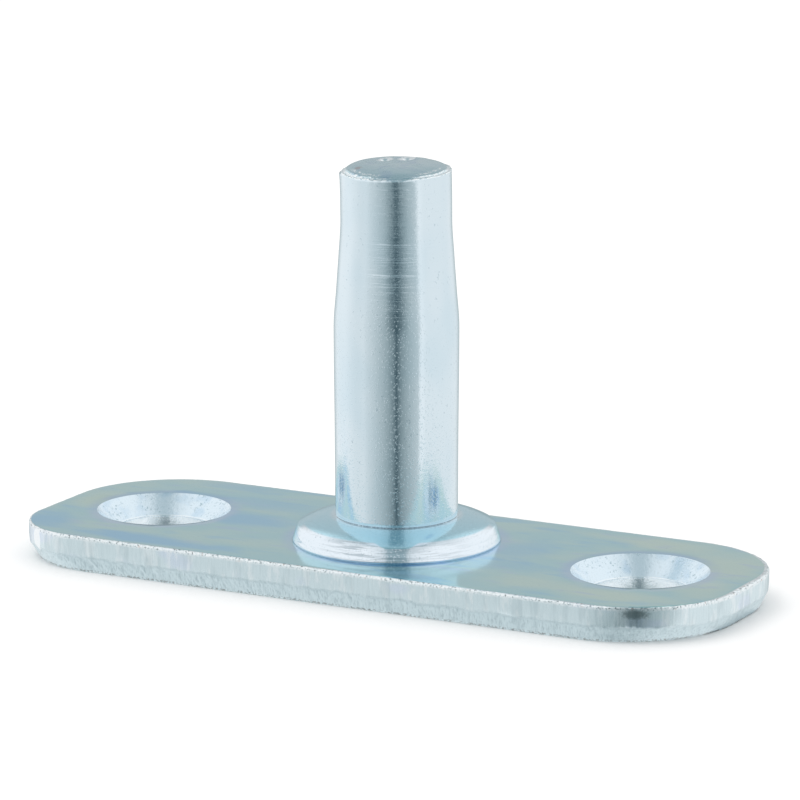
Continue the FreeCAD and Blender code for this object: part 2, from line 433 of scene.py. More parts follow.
@dataclass(frozen=True)
class ShearedZinc(Coating):
    """Zinc over the sheared side of the plate: burnished above, torn and striped below."""

    name: str = "sheared_zinc"
    bright: tuple = (0.68, 0.79, 0.83)
    white: tuple = (0.90, 0.94, 0.96)
    torn: tuple = (0.63, 0.755, 0.80)
    lilac: tuple = (0.68, 0.75, 0.90)
    shade: tuple = (0.42, 0.52, 0.56)
    dots: tuple = (0.22, 0.23, 0.23)
    rust: tuple = (0.62, 0.50, 0.46)
    dark_reflection_colour: tuple = (0.20, 0.25, 0.25)
    stripes: Grain = Grain((7.0, 7.0, 0.5), 3.0, 0.7)
    broad: Grain = Grain((1.3, 1.3, 0.25), shift=(9.0, 5.0, 0.0))
    waver: Grain = Grain((0.5, 0.5, 0.01), 3.0, 0.7, (3.0, 17.0, 0.0))
    blush: Grain = Grain((0.22, 0.22, 0.5), 1.0, shift=(0.0, 31.0, 0.0))
    flakes: Grain = Grain((1.1, 1.1, 0.3), 4.0, 0.65, (21.0, 4.0, 2.0))
    grit: Grain = Grain((5.5, 5.5, 5.5), 3.0, 0.6)
    stains: Grain = Grain((1.7, 1.7, 1.7), shift=(5.0, 2.0, 0.0))
    # painted dark reflection on the side at the near right corner
    painted_dark_reflection: Spot = Spot((26.65, -11.1, 2.42), (0.85, 0.5, 2.2), 1.10, 0.55, 0.8, 0.75)
    # painted shade: a wider, weaker dark patch low on the side at the near right corner
    dull: Spot = Spot((25.6, -10.9, 0.9), (0.3, 0.3, 0.6), 1.2, 0.3, 0.0)
    glint: Spot = Spot((-28.0, -10.4, 2.0), (1.3, 1.3, 1.0), 0.95, 0.75, 0.8, 0.9)
    tear_height: float = 1.25
    roughness: float = 0.24

    def draw(self, graph: Graph) -> None:
        """Draws the burnished and the torn band, the gritty edges and the rust stains, with painted light: a
        highlight along the top edge, shade along the tear line, a dark reflection and shade at the near right
        corner, and a highlight at the left end.

        Args:
            graph: The material's graph.
        """
        place = graph.place()
        height = place.parts()["Z"]
        grains = (self.stripes, self.broad, self.waver, self.blush, self.flakes, self.grit, self.stains)
        stripes, broad, waver, blush, flakes, grit, stains = (grain.over(place) for grain in grains)
        line = height - (waver - 0.5) * 0.7 - self.tear_height
        torn = line.step(0.22, -0.16)
        # painted shade at the near right corner, broken up by the stripes
        dull = self.dull.mask(place, broad) * (stripes.step(0.62, 0.38) * 0.3 + 0.2)
        colour = graph.layered(
            self.bright,
            (blush.step(0.56, 0.68) * 0.5 * (1 - torn), self.lilac),
            (flakes.step(0.50, 0.62) * (0.40 - torn * 0.20), self.white),
            (torn * 0.8, self.torn),
            (stripes.step(0.54, 0.30) * (torn * 0.60 + 0.12), self.shade),
            (broad.step(0.48, 0.30) * 0.30, self.shade),
            # painted shade along the ledge where the torn band starts
            (abs(line).step(0.16, 0.02) * stripes.step(0.40, 0.62) * 0.4, self.shade),
            # painted highlight along the top edge, broken up by the grit
            (height.step(2.58, 2.78) * grit.step(0.62, 0.45) * 0.8, self.white),
            (grit.step(0.57, 0.66) * height.step(2.66, 2.84) * 0.9, self.dots),
            (grit.step(0.47, 0.56) * height.step(0.26, 0.08) * 0.8, self.dots),
            (stains.step(0.62, 0.72) * height.step(2.6, 2.85) * 0.6, self.rust),
            # painted dark reflection at the near right corner
            (self.painted_dark_reflection.mask(place, grit), self.dark_reflection_colour),
            (dull, self.shade),
            (self.glint.mask(place, broad), self.white),
        )
        roughness = torn * 0.12 + broad * 0.14 + (self.roughness - 0.07)
        drawn = graph.bump(stripes * (torn * 0.75 + 0.25), 0.018)
        graph.metal(colour, roughness, graph.bump(grit * (torn * 0.8 + 0.2), 0.024, drawn))


@dataclass(frozen=True)
class PressedZinc(Coating):
    """Zinc over pressed, cropped or hammered metal: countersinks, the pin's end, the rivet.

    Below a height, walls carry a painted highlight. Where there is a rim radius, the metal outside it carries
    a painted highlight, and the marks, each of which has its X and Y and its reach, are pale.
    """

    name: str = "pressed_zinc"
    pale: tuple = (0.74, 0.86, 0.94)
    blue: tuple = (0.62, 0.77, 0.89)
    speck: tuple = (0.28, 0.42, 0.48)
    rim: tuple = (0.91, 0.97, 1.0)
    rust: tuple = (0.40, 0.36, 0.38)
    roughness: float = 0.25
    dent_depth: float = 0.010
    speck_share: float = 0.75
    painted_highlight_below: float = -1.0
    rim_radius: float | None = None
    marks: tuple = ()
    stain: Spot | None = None
    clouds: Grain = Grain((0.6, 0.6, 0.6))
    specks: Grain = Grain((4.5, 4.5, 4.5), 3.0, 0.6)
    dull: Grain = Grain((0.45, 0.45, 0.45), shift=(2.0, 6.0, 1.0))
    dents: Grain = Grain((1.6, 1.6, 1.6))
    crumbs: Grain = Grain((5.5, 5.5, 5.5), 3.0, 0.6, (5.0, 5.0, 0.0))

    def draw(self, graph: Graph) -> None:
        """Draws the clouded metal, its specks, a painted highlight low in the walls, and the painted rim
        highlight and stain where it has them.

        Args:
            graph: The material's graph.
        """
        place = graph.place()
        grains = (self.clouds, self.specks, self.dull)
        clouds, specks, dull = (grain.over(place) for grain in grains)
        dull = dull.step(0.44, 0.60)
        # painted highlight low in the wall, where it would mirror the white paper
        below = place.parts()["Z"].step(self.painted_highlight_below + 0.06, self.painted_highlight_below - 0.06)
        layers = [
            (clouds.step(0.50, 0.72), self.blue),
            (specks.step(0.57, 0.68) * (dull * 0.8 + 0.2) * self.speck_share, self.speck),
            (below * 0.8, self.rim),
        ]
        if self.rim_radius is not None:
            layers.append((self.rim_highlight_and_marks(place, specks), self.rim))
        if self.stain is not None:
            layers.append((self.stain.mask(place, specks), self.rust))
        roughness = clouds * 0.08 + dull * specks * 0.14 + (self.roughness - 0.08)
        dented = graph.bump(self.dents.over(place), self.dent_depth)
        normal = graph.bump(specks, self.dent_depth * 1.5, dented)
        graph.metal(graph.layered(self.pale, *layers), roughness, normal)

    def rim_highlight_and_marks(self, place: Signal, specks: Signal) -> Signal:
        """Painted highlight on the cropped end, on its rim and on two arcs inside it on the side it is seen
        from, with a gap facing the lens; and the pale marks.

        Args:
            place: The place on the part, in millimetres.
            specks: The noise that makes the edges ragged.

        Returns:
            The share of the painted highlight and of the pale marks.
        """
        crumbs = self.crumbs.over(place)
        far = (place * (1.0, 1.0, 0.0)).length() + (specks - 0.5) * 0.6
        across, towards = place.facing(SEEN_AZIMUTH)
        off_centre, front = abs(across - 0.1), towards.step(0.5, 1.5)
        # painted highlight round the rim, left out where it faces the lens
        pale = far.step(self.rim_radius, self.rim_radius + 0.10) * crumbs.step(0.38, 0.50)
        pale = pale * (1 - off_centre.step(1.2, 0.5) * front * 0.7)
        # two painted arcs of highlight inside the rim, on the side that is seen
        arcs = abs(far - self.rim_radius + 0.36).step(0.15, 0.07) * off_centre.step(1.1, 1.9)
        pale = place.graph.work_out("MAXIMUM", pale, arcs * front * crumbs.step(0.44, 0.54) * 0.9)
        for x, y, reach in self.marks:
            mark = Spot((x, y, 0.0), (1.0, 0.6, 0.0), reach, reach - 0.12, 0.5)
            pale = place.graph.work_out("MAXIMUM", pale, mark.mask(place, specks))
        return pale


@dataclass(frozen=True)
class TurnedZinc(Coating):
    """Blue-passivated zinc over the turning marks of the pin."""

    name: str = "turned_zinc"
    pale: tuple = (0.725, 0.825, 0.885)
    cool: tuple = (0.67, 0.79, 0.86)
    crown: tuple = (0.49, 0.745, 0.85)
    rim: tuple = (0.81, 0.89, 0.96)
    streak: tuple = (0.50, 0.58, 0.64)
    under: tuple = (0.30, 0.52, 0.72)
    pit: tuple = (0.34, 0.45, 0.52)
    line: tuple = (0.16, 0.24, 0.30)
    smudge: tuple = (0.33, 0.50, 0.70)
    clouds: Grain = Grain((0.22, 0.22, 0.12))
    rings: Grain = Grain((0.18, 0.18, 7.0), 3.0, 0.7)
    pits: Grain = Grain((3.2, 3.2, 2.6), 3.0, 0.65)
    fine: Grain = Grain((7.0, 7.0, 6.0), shift=(3.0, 1.0, 4.0))
    streaks: Grain = Grain((0.30, 0.30, 5.5), 3.0, 0.6, (0.0, 0.0, 2.0))
    lines: Grain = Grain((0.09, 0.09, 8.0), 2.0, 0.6, (0.0, 0.0, 7.0))
    smudges: tuple = tuple(
        Spot(middle, (1.3, 1.3, 0.75), 1.0, 0.45, 1.2) for middle in [(-2.87, -4.10, 8.1), (4.56, -2.06, 7.5)]
    )
    roughness: float = 0.13
    anisotropy: float = 0.5
    root_height: float = ROOT_HEIGHT
    rim_height: float = 4.53
    under_height: float = 3.15

    def draw(self, graph: Graph) -> None:
        """Draws the shaft with a painted shade line at its root, and the collar with its crown, a painted
        highlight on its rim and painted shade at its foot.

        Args:
            graph: The material's graph.
        """
        place = graph.place()
        height = place.parts()["Z"]
        grains = (self.clouds, self.rings, self.pits, self.fine, self.lines)
        clouds, rings, pits, fine, lines = (grain.over(place) for grain in grains)
        upper = height.step(20.0, 25.0)
        # painted shade: a dark line in the crease where the shaft meets the collar
        root = height.step(self.root_height, self.root_height + 0.02)
        root = root * height.step(self.root_height + 0.10, self.root_height + 0.05)
        smudges = [smudge.mask(place, fine) * fine.step(0.44, 0.56) for smudge in self.smudges]
        colour = graph.layered(
            self.pale,
            (clouds.step(0.42, 0.66), self.cool),
            (height.step(self.root_height + 0.02, self.root_height - 0.03), self.crown),
            *self.collar_layers(place, height),
            (pits.step(0.62, 0.72) * (clouds.step(0.62, 0.40) * 0.5 + 0.1), self.pit),
            (rings.step(0.55, 0.70) * (upper * 0.25 + 0.12), self.cool),
            *((smudge * 0.9, self.smudge) for smudge in smudges),
            # painted shade line at the root
            (root * fine.step(0.25, 0.50), self.line),
        )
        lines = lines.step(0.58, 0.68) * (height.step(28.5, 31.0) * 0.14 + upper * 0.04 + 0.02)
        roughness = rings * 0.05 + pits * 0.06 + lines + (self.roughness - 0.075)
        turned = graph.bump(rings * (upper * 0.85 + 0.15), 0.014)
        spotted = graph.bump(fine.step(0.60, 0.69) * (1 - upper * 0.65), 0.007, turned)
        normal = graph.bump(pits, 0.0065, spotted)
        graph.metal(colour, roughness, normal, Anisotropic=self.anisotropy, Anisotropic_Rotation=0.25)

    def collar_layers(self, place: Signal, height: Signal) -> list[tuple]:
        """The collar's painted highlight on its rim on the side it is seen from, darker streaks in it, and
        painted shade under the rim.

        Args:
            place: The place on the part, in millimetres.
            height: The height of the place.

        Returns:
            The layers, each a share and a colour.
        """
        across, towards = place.facing(SEEN_AZIMUTH)
        lowered = height + abs(across).step(1.9, 0.8) * 0.32
        # painted highlight on the rim, only on the side that is seen
        rim = lowered.step(self.rim_height + 0.06, self.rim_height - 0.06) * towards.step(0.7, 2.2)
        streaks = self.streaks.over(place).step(0.47, 0.62) * towards.step(5.0, 7.6)
        streaks = streaks * (across.step(2.0, -1.5) * 0.55 + 0.45)
        # painted shade on the underside of the rim
        shade = place.parts()["X"].step(-7.0, 3.0) * 0.22 + abs(across).step(3.5, 1.0) * 0.40
        shade = height.step(self.under_height + 0.03, self.under_height - 0.03) * shade
        return [(rim, self.rim), (rim * streaks, self.streak), (shade, self.under)]


@dataclass(frozen=True)
class Unevenness:
    """A smooth random height over a strip that closes on itself along its length."""

    seed: int
    along: float
    across: float
    depth: float

    def over(self, distance: np.ndarray, level: np.ndarray, length: float) -> np.ndarray:
        """The height at each point of the strip.

        Args:
            distance: Distances along the strip, in millimetres.
            level: Places across it, in millimetres.
            length: The strip's length, after which the heights repeat.

        Returns:
            Heights from minus the depth to the depth, in millimetres.
        """
        columns = max(3, round(length / self.along))
        rows = int((level.max() - level.min()) / self.across) + 3
        knots = np.random.default_rng(self.seed).uniform(-1.0, 1.0, (columns, rows))
        u = distance / length * columns
        v = (level - level.min()) / self.across
        column, row = np.floor(u).astype(int), np.floor(v).astype(int)
        s, t = self.ease(u - column), self.ease(v - row)
        near, far = column % columns, (column + 1) % columns
        low = knots[near, row] * (1 - s) + knots[far, row] * s
        high = knots[near, row + 1] * (1 - s) + knots[far, row + 1] * s
        return self.depth * (low * (1 - t) + high * t)

    @staticmethod
    def ease(share: np.ndarray) -> np.ndarray:
        """Eases a share from 0 to 1 in and out."""
        return share * share * (3 - 2 * share)


@dataclass(frozen=True)
class Texture:
    """Layers of unevenness, each with its seed, its size along and across, and its depth."""

    layers: tuple

    def over(self, distance: np.ndarray, level: np.ndarray, length: float) -> np.ndarray:
        """The sum of the layers over a strip, as one layer gives it."""
        return sum(Unevenness(*layer).over(distance, level, length) for layer in self.layers)

    def along(self, distance: np.ndarray, length: float) -> np.ndarray:
        """The sum of the layers along a line."""
        return self.over(distance, np.zeros_like(distance), length)


class MeshMaker:
    """Gathers points and faces in millimetres and makes a Blender mesh of them."""

    def __init__(self) -> None:
        """Starts with nothing."""
        self.points: list[np.ndarray] = []
        self.faces: list[tuple] = []
        self.finishes: list[Finish] = []
        self.count = 0

    def add_points(self, points: np.ndarray) -> np.ndarray:
        """Adds points and returns their numbers, in the shape of the given grid.

        Args:
            points: An array whose last axis holds X, Y and Z in millimetres.

        Returns:
            The points' numbers.
        """
        flat = points.reshape(-1, 3)
        numbers = np.arange(self.count, self.count + len(flat))
        self.points.append(flat)
        self.count += len(flat)
        return numbers.reshape(points.shape[:-1])

    def add_faces(self, faces: list, finish: Finish) -> None:
        """Adds faces, given by the numbers of their corners, that share a finish."""
        self.faces.extend(faces)
        self.finishes.extend([finish] * len(faces))

    def add_rings(self, numbers: np.ndarray, finish: Finish, inwards: bool = False) -> None:
        """Adds the quads between closed rings of points, which run down an outer wall.

        Args:
            numbers: The points' numbers, a row for each ring.
            finish: The finish that the faces take.
            inwards: Whether the wall faces its own axis.
        """
        ahead = np.roll(numbers, 1 if inwards else -1, axis=1)
        corners = (numbers[:-1], numbers[1:], ahead[1:], ahead[:-1])
        quads = np.stack([corner.ravel() for corner in corners], axis=1)
        self.add_faces(quads.tolist(), finish)

    def add_fan(self, ring: np.ndarray, level: float, finish: Finish) -> None:
        """Closes a ring round the Z axis with a fan; the ring runs anticlockwise as it is seen.

        Args:
            ring: The numbers of the ring's points.
            level: The height of the fan's middle.
            finish: The finish that the faces take.
        """
        middle = int(self.add_points(np.array([0.0, 0.0, level])))
        pairs = zip(ring.tolist(), np.roll(ring, -1).tolist())
        self.add_faces([[middle, here, ahead] for here, ahead in pairs], finish)

    def fill_between(self, loops: list, inner: np.ndarray, level: float, finish: Finish) -> None:
        """Fills a flat face between closed loops of points that are already there.

        Args:
            loops: The numbers of each loop's points, the outer loop first.
            inner: Extra points inside the face, as X and Y in millimetres.
            level: The height of the face, which looks down at 0 and up above it.
            finish: The finish that the faces take.
        """
        known, rim = np.concatenate(self.points), np.concatenate(loops)
        ends = np.cumsum([len(loop) for loop in loops])
        spans = [np.arange(end - len(loop), end) for loop, end in zip(loops, ends)]
        edges = [pair for span in spans for pair in zip(span.tolist(), np.roll(span, -1).tolist())]
        raised = np.column_stack([inner, np.full(len(inner), level)])
        numbers = np.concatenate([rim, self.add_points(raised)])
        flat = np.concatenate([known[rim, :2], inner])
        corners = [Vector(point) for point in flat.tolist()]
        places, _, faces, sources, *_ = geometry.delaunay_2d_cdt(corners, edges, [], 0, 1e-6, True)
        shape = np.array([list(place) for place in places])
        where = {given: place for place, origins in enumerate(sources) for given in origins}
        outer, *holes = [shape[[where[given] for given in span.tolist()]] for span in spans]
        kept = []
        for face in faces:
            middle = shape[list(face)].mean(axis=0)
            if self.inside(middle, outer) and not any(self.inside(middle, hole) for hole in holes):
                turned = face if level > 0 else face[::-1]
                kept.append([int(numbers[sources[corner][0]]) for corner in turned])
        self.add_faces(kept, finish)

    @staticmethod
    def inside(point: np.ndarray, loop: np.ndarray) -> bool:
        """Whether a point lies inside a closed loop of points.

        Args:
            point: The point's X and Y.
            loop: The loop's points, in their order.

        Returns:
            True if it does.
        """
        ahead = np.roll(loop, -1, axis=0)
        crossing = (loop[:, 1] > point[1]) != (ahead[:, 1] > point[1])
        rise = np.where(crossing, ahead[:, 1] - loop[:, 1], 1.0)
        reach = (ahead[:, 0] - loop[:, 0]) * (point[1] - loop[:, 1]) / rise + loop[:, 0]
        return bool((crossing & (point[0] < reach)).sum() % 2)

    def make(self, name: str, coatings: dict[Finish, Coating]) -> bpy.types.Object:
        """Makes the object, in metres and with smooth shading.

        Args:
            name: The object's name.
            coatings: What stands for each of its finishes.

        Returns:
            The object, linked to the scene.
        """
        mesh = bpy.data.meshes.new(name)
        mesh.from_pydata((np.concatenate(self.points) * MM).tolist(), [], self.faces)
        for coating in coatings.values():
            mesh.materials.append(coating.material())
        slots = {finish: slot for slot, finish in enumerate(coatings)}
        mesh.polygons.foreach_set("material_index", [slots[finish] for finish in self.finishes])
        mesh.polygons.foreach_set("use_smooth", [True] * len(self.faces))
        mesh.update()
        return linked(name, mesh)


def linked(name: str, data: bpy.types.ID) -> bpy.types.Object:
    """Makes an object of some data and links it to the scene.

    Args:
        name: The object's name.
        data: Its mesh, camera or light.

    Returns:
        The object.
    """
    made = bpy.data.objects.new(name, data)
    bpy.context.scene.collection.objects.link(made)
    return made


@dataclass(frozen=True)
class RoundHole:
    """A round hole through the plate: its section runs from the top face to the underside."""

    centre: float
    section: tuple
    segments: int
    dents: Unevenness | None = None
    dent_fade: float = 0.3

    def add_to(self, maker: MeshMaker) -> np.ndarray:
        """Adds the hole's wall.

        Args:
            maker: The mesh that the wall belongs to.

        Returns:
            The numbers of the wall's points, a row for each ring from top to bottom.
        """
        radius, height = np.array(self.section).T
        turn = np.arange(self.segments) * math.tau / self.segments
        spread = np.repeat(radius[:, None], self.segments, axis=1)
        if self.dents is not None:
            run = np.concatenate([[0.0], np.cumsum(np.hypot(np.diff(radius), np.diff(height)))])
            around = np.broadcast_to(turn * radius.mean(), spread.shape)
            level = np.broadcast_to(run[:, None], spread.shape)
            fade = np.minimum(1.0, np.minimum(run, run[-1] - run) / self.dent_fade)[:, None]
            spread = spread + self.dents.over(around, level, math.tau * radius.mean()) * fade
        rings = np.empty((*spread.shape, 3))
        rings[..., 0] = self.centre + spread * np.cos(turn)
        rings[..., 1] = spread * np.sin(turn)
        rings[..., 2] = height[:, None]
        numbers = maker.add_points(rings)
        maker.add_rings(numbers, Finish.PRESSED_HOLE, inwards=True)
        return numbers


@dataclass(frozen=True)
class Outline:
    """A rectangle seen from above, with its own radius at each corner."""

    left: float
    right: float
    near: float
    far: float
    radii: tuple

    def corners(self) -> list[tuple]:
        """Centres and radii of the corners, from the far right one counter-clockwise."""
        first, second, third, fourth = self.radii
        return [
            (self.right - first, self.far - first, first),
            (self.left + second, self.far - second, second),
            (self.left + third, self.near + third, third),
            (self.right - fourth, self.near + fourth, fourth),
        ]

    def lengths(self) -> list[float]:
        """Lengths of the runs: each corner's arc and the straight that follows it.

        Returns:
            The lengths, in the order of the corners.
        """
        lengths = []
        corners = self.corners()
        for number, (x, y, radius) in enumerate(corners):
            next_x, next_y, _ = corners[(number + 1) % 4]
            straight = abs(next_y - y) if number % 2 else abs(next_x - x)
            lengths += [radius * math.pi / 2, straight]
        return lengths

    def stations(self, counts: list[int]) -> tuple[np.ndarray, np.ndarray]:
        """Points along the outline.

        Args:
            counts: How many points each run has.

        Returns:
            The points and their outward directions.
        """
        points, outward = [], []
        corners = self.corners()
        for run, count in enumerate(counts):
            number, straight = divmod(run, 2)
            share = np.arange(count) / count
            turn = (number + (np.ones(count) if straight else share)) * math.pi / 2
            direction = np.stack([np.cos(turn), np.sin(turn)], axis=1)
            x, y, radius = corners[number]
            here = np.array([x, y]) + direction * radius
            if straight:
                next_x, next_y, next_radius = corners[(number + 1) % 4]
                there = np.array([next_x, next_y]) + direction * next_radius
                here = here + (there - here) * share[:, None]
            points.append(here)
            outward.append(direction)
        return np.concatenate(points), np.concatenate(outward)


@dataclass
class BasePlate:
    """The stamped plate, with its sheared side, countersunk screw holes and rivet hole.

    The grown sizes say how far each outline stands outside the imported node's box, to the
    left, right, near and far side: the blank isn't quite central on its holes, and its torn
    band leans in towards the underside. The rollover gives places between the face's edge at
    0 and the widest outline at 1, each with its drop.
    """

    box: tuple = (-31.0, 31.0, -11.0, 11.0)
    thickness: float = PLATE_THICKNESS
    face_grown: tuple = (-0.15, 0.12, 0.25, -0.38)
    face_radii: tuple = (8.7, 9.0, 6.3, 8.0)
    widest_grown: tuple = (0.08, 0.50, 0.45, -0.12)
    widest_radii: tuple = (8.9, 9.2, 6.6, 9.0)
    foot_grown: tuple = (-0.20, -0.20, 0.10, -0.50)
    foot_radii: tuple = (8.5, 9.0, 7.6, 9.6)
    rollover: tuple = (
        (0.0, 0.0), (0.25, 0.008), (0.45, 0.022), (0.62, 0.045), (0.76, 0.075),
        (0.87, 0.115), (0.95, 0.165), (1.0, 0.25),
    )
    bore_radius: float = 4.0
    edge_radius: float = 0.12
    tear_height: float = 1.25
    lean_in: float = 0.06
    lean_starts: float = 0.4
    foot_height: float = 0.05
    drawn_rows: int = 11
    torn_rows: int = 13
    hole_segments: int = 224
    rivet_segments: int = 96
    station_gap: float = 0.08
    face_grid: float = 1.0
    face_inset: float = 2.2
    hole_margin: float = 0.7
    roll_waver: Texture = Texture(((11, 7.0, 1.0, 0.2), (12, 0.5, 1.0, 0.25), (16, 0.17, 1.0, 0.22)))
    tear_waver: Texture = Texture(((13, 5.0, 1.0, 0.12), (14, 1.3, 1.0, 0.09), (15, 0.4, 1.0, 0.05)))
    beads: Texture = Texture(((21, 0.18, 0.14, 0.035), (22, 0.55, 0.3, 0.03)))
    stripes: Texture = Texture(((23, 0.16, 2.5, 0.0025), (28, 1.3, 1.0, 0.006), (24, 5.0, 1.5, 0.010)))
    torn: Texture = Texture(((25, 0.16, 0.7, 0.014), (26, 0.45, 0.35, 0.010)))
    burr: Texture = Texture(((27, 0.35, 1.0, 0.05),))
    rainbow: RainbowZinc = RainbowZinc()
    sheared: ShearedZinc = ShearedZinc()
    pressed: PressedZinc = PressedZinc(painted_highlight_below=1.46)

    def measure(self) -> None:
        """Takes the plate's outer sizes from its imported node."""
        low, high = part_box("base_plate")
        self.box = (low.x / MM, high.x / MM, low.y / MM, high.y / MM)
        self.thickness = (high.z - low.z) / MM

    def outline(self, grown: tuple, radii: tuple) -> Outline:
        """The node's outline with its left, right, near and far side moved outwards."""
        left, right, near, far = self.box
        return Outline(left - grown[0], right + grown[1], near - grown[2], far + grown[3], radii)

    def side_rows(self, distance: np.ndarray, total: float) -> tuple:
        """Where each row of the sheared side lies.

        Args:
            distance: Distances along the plate's edge.
            total: The edge's length.

        Returns:
            Each row's place between the outlines (0 at the face's edge, 1 at the widest one,
            2 at the foot), its inset and its height, from the top face down.
        """
        level = np.zeros_like(distance)
        top, roll = self.thickness + level, 1 + self.roll_waver.along(distance, total)
        tear = self.tear_height + self.tear_waver.along(distance, total)
        rows = [(0.0, 0.9, top), (0.0, 0.35, top)]
        rows += [(place, 0.0, self.thickness - drop * roll) for place, drop in self.rollover]
        shoulder = rows[-1][2]
        for share in np.linspace(0.1, 1.0, self.drawn_rows):
            lean = self.lean_in * max(0.0, (share - self.lean_starts) / (1 - self.lean_starts)) ** 2
            rows.append((1.0, lean, shoulder + (tear - shoulder) * share))
        rows += [
            (1 + share, self.lean_in * (1 - share), tear + (self.foot_height - tear) * share)
            for share in np.linspace(0.03, 1.0, self.torn_rows)
        ]
        rows += [(2.0, 0.07, level), (2.0, 0.5, level)]
        places, insets, heights = zip(*rows)
        return np.array(places)[:, None], np.array(insets)[:, None] + level, np.array(heights)

    def roughen(self, insets: np.ndarray, heights: np.ndarray, distance: np.ndarray, total: float) -> None:
        """Adds the beaded top edge, the drawn stripes and the torn band to the side's rows.

        Args:
            insets: The rows' insets, changed in place.
            heights: The rows' heights, changed in place.
            distance: Distances along the plate's edge.
            total: The edge's length.
        """
        along = np.broadcast_to(distance, insets.shape)
        beads, stripes, torn = (
            texture.over(along, heights, total) for texture in (self.beads, self.stripes, self.torn)
        )
        count, edge_end = len(insets), 2 + len(self.rollover)
        tear_start = edge_end + self.drawn_rows
        rows = np.arange(count)[:, None]
        at_edge = np.exp(-((rows - edge_end / 2) / 2.0) ** 2) * (rows > 1) * (rows < edge_end)
        on_side = (rows > edge_end - 2) & (rows < tear_start)
        at_tear = (rows >= tear_start) & (rows < count - 2)
        insets += beads * at_edge + stripes * on_side + np.maximum(torn, -0.03) * at_tear
        heights -= np.abs(beads) * 0.5 * at_edge
        heights[count - 3] += np.abs(self.burr.along(distance, total))

    def add_side(self, maker: MeshMaker) -> np.ndarray:
        """Adds the sheared side.

        Args:
            maker: The plate's mesh.

        Returns:
            The numbers of the side's points, a row for each ring from the top face down.
        """
        widest = self.outline(self.widest_grown, self.widest_radii)
        lengths = widest.lengths()
        counts = [max(4, round(length / self.station_gap)) for length in lengths]
        starts = np.cumsum([0.0] + lengths[:-1])
        distance = np.concatenate([
            start + np.arange(count) * length / count
            for start, count, length in zip(starts, counts, lengths)
        ])
        face = self.outline(self.face_grown, self.face_radii).stations(counts)[0]
        foot = self.outline(self.foot_grown, self.foot_radii).stations(counts)[0]
        middle, outward = widest.stations(counts)
        places, insets, heights = self.side_rows(distance, sum(lengths))
        self.roughen(insets, heights, distance, sum(lengths))
        upper = np.clip(places, 0, 1)[..., None]
        lower = np.clip(places - 1, 0, 1)[..., None]
        flat = face * (1 - upper) + middle * (upper - lower) + foot * lower
        rings = np.dstack([flat - outward * insets[..., None], heights])
        numbers = maker.add_points(rings)
        maker.add_rings(numbers[:3], Finish.ROLLED_FACE)
        maker.add_rings(numbers[2:-1], Finish.SHEARED_SIDE)
        maker.add_rings(numbers[-2:], Finish.ROLLED_FACE)
        return numbers

    def screw_hole(self, side: int) -> RoundHole:
        """One countersunk screw hole.

        Args:
            side: 1 for the right hole, minus 1 for the left one.

        Returns:
            The hole.
        """
        top, depth = self.thickness, MOUTH_RADIUS - self.bore_radius
        section = [(MOUTH_RADIUS, top), (MOUTH_RADIUS - 0.02, top - 0.006)]
        cone = depth * np.linspace(0.04, 0.97, 21)
        section += zip(MOUTH_RADIUS - cone, top - cone)
        turn = np.radians(np.linspace(45.0, 90.0, 6))
        inset, fall = self.edge_radius * (1 - np.sin(turn)), self.edge_radius * (0.414 - np.cos(turn))
        section += zip(self.bore_radius + inset, top - depth - fall)
        bore_top = section[-1][1] - 0.15
        section += [(self.bore_radius, height) for height in np.linspace(bore_top, 0.12, 7)]
        section += [(self.bore_radius + 0.03, 0.04), (self.bore_radius + 0.10, 0.0)]
        dents = Unevenness(31 + side, 0.9, 0.7, 0.007)
        return RoundHole(side * HOLE_SPACING / 2, tuple(section), self.hole_segments, dents)

    def rivet_hole(self) -> RoundHole:
        """The hole that the pin's tenon fills, with its seat for the rivet head."""
        wall = ((TENON_RADIUS, self.thickness), (TENON_RADIUS, RIVET_RADIUS - TENON_RADIUS))
        return RoundHole(0.0, (*wall, (RIVET_RADIUS, 0.04), (RIVET_RADIUS + 0.04, 0.0)), self.rivet_segments)

    def inner_points(self, holes: list[RoundHole]) -> np.ndarray:
        """A grid of points on the plate's faces, clear of its edge and holes.

        Args:
            holes: The holes.

        Returns:
            The points' X and Y.
        """
        half_x, half_y = self.box[1] - self.face_inset, self.box[3] - self.face_inset
        across = np.linspace(-half_x, half_x, round(2 * half_x / self.face_grid))
        along = np.linspace(-half_y, half_y, round(2 * half_y / self.face_grid))
        grid = np.stack(np.meshgrid(across, along), axis=-1).reshape(-1, 2)
        corner = max(self.face_radii)
        past = np.abs(grid) - [half_x - corner + self.face_inset, half_y - corner + self.face_inset]
        clear = np.hypot(*np.maximum(past, 0.0).T) < corner - self.face_inset
        for hole in holes:
            widest = max(radius for radius, _ in hole.section)
            clear &= np.hypot(grid[:, 0] - hole.centre, grid[:, 1]) > widest + self.hole_margin
        return grid[clear]

    def build(self) -> bpy.types.Object:
        """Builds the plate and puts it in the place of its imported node.

        Returns:
            The object.
        """
        self.measure()
        maker = MeshMaker()
        side = self.add_side(maker)
        holes = [self.screw_hole(1), self.screw_hole(-1), self.rivet_hole()]
        walls = [side] + [hole.add_to(maker) for hole in holes]
        inner = self.inner_points(holes)
        maker.fill_between([wall[0] for wall in walls], inner, self.thickness, Finish.ROLLED_FACE)
        maker.fill_between([wall[-1] for wall in walls], inner, 0.0, Finish.ROLLED_FACE)
        made = maker.make("plate", {
            Finish.ROLLED_FACE: self.rainbow,
            Finish.SHEARED_SIDE: self.sheared,
            Finish.PRESSED_HOLE: self.pressed,
        })
        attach(made, "root")
        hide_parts("base_plate")
        return made


